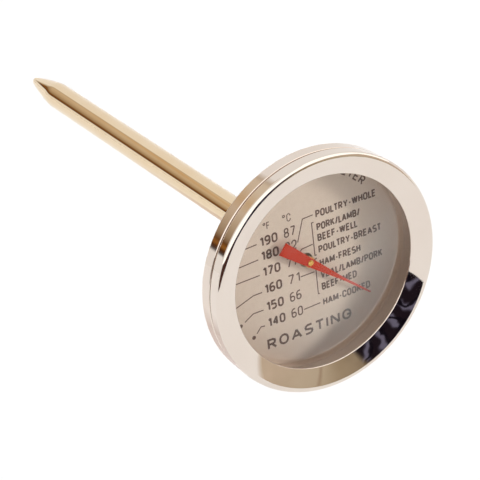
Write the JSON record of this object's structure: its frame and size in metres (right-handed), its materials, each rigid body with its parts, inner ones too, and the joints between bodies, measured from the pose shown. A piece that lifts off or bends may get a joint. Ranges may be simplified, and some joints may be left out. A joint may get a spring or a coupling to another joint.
{
  "type": "meat thermometer",
  "caption": "Dial meat thermometer: a flat round head with a windowed dial and red pointer, on a long pointed steel stem whose inner helix turns the pointer.",
  "frame": {"origin": "on the stem's axis, where the bare stem leaves the collar behind the head", "axes": "+Y along the stem to its point, +Z to the dial's twelve o'clock, +X to the right as the dial is read; the dial faces -Y"},
  "size_m": [0.052, 0.1355, 0.052],
  "materials": {
    "bezel_steel": "mirror-polished stainless steel",
    "case_steel": "polished stainless steel with fine turning marks",
    "stem_steel": "polished stainless steel with a warm tint",
    "plain_steel": "plain pressed steel",
    "dial_silver": "matte silver-grey print ground",
    "pointer_red": "matte red paint",
    "hub_brass": "bright turned brass",
    "bush_brass": "turned brass",
    "bimetal_strip": "rolled bimetal strip",
    "lens_glass": "clear flat glass",
    "seal_rubber": "matte black seal"
  },
  "bodies": {
    "case": {"bezel_ring": "bezel_steel", "lens": "lens_glass", "lens_gasket": "seal_rubber", "spacer_ring": "dial_silver", "dial_plate": "dial_silver", "dial_support": "plain_steel", "case_back": "case_steel", "stem_seal": "seal_rubber", "stem_collar": "case_steel", "lock_washer": "plain_steel", "lock_ring": "plain_steel", "stem_tube": "stem_steel", "stem_tip": "stem_steel", "shaft_bearing": "bush_brass", "shaft_guide": "bush_brass", "coil_anchor": "bush_brass", "bimetal_coil": "bimetal_strip"},
    "movement": {"pointer": "pointer_red", "pointer_hub": "hub_brass", "pointer_shaft": "hub_brass", "coil_collar": "bush_brass"}
  },
  "joints": [
    {"name": "pointer_turn", "type": "hinge", "parent": "case", "child": "movement", "pos_m": [0, 0, 0], "axis": [0, 1, 0], "range_deg": [-52, 197], "stiffness_Nm_per_rad": 0.0001, "deforming": ["bimetal_coil"]}
  ]
}
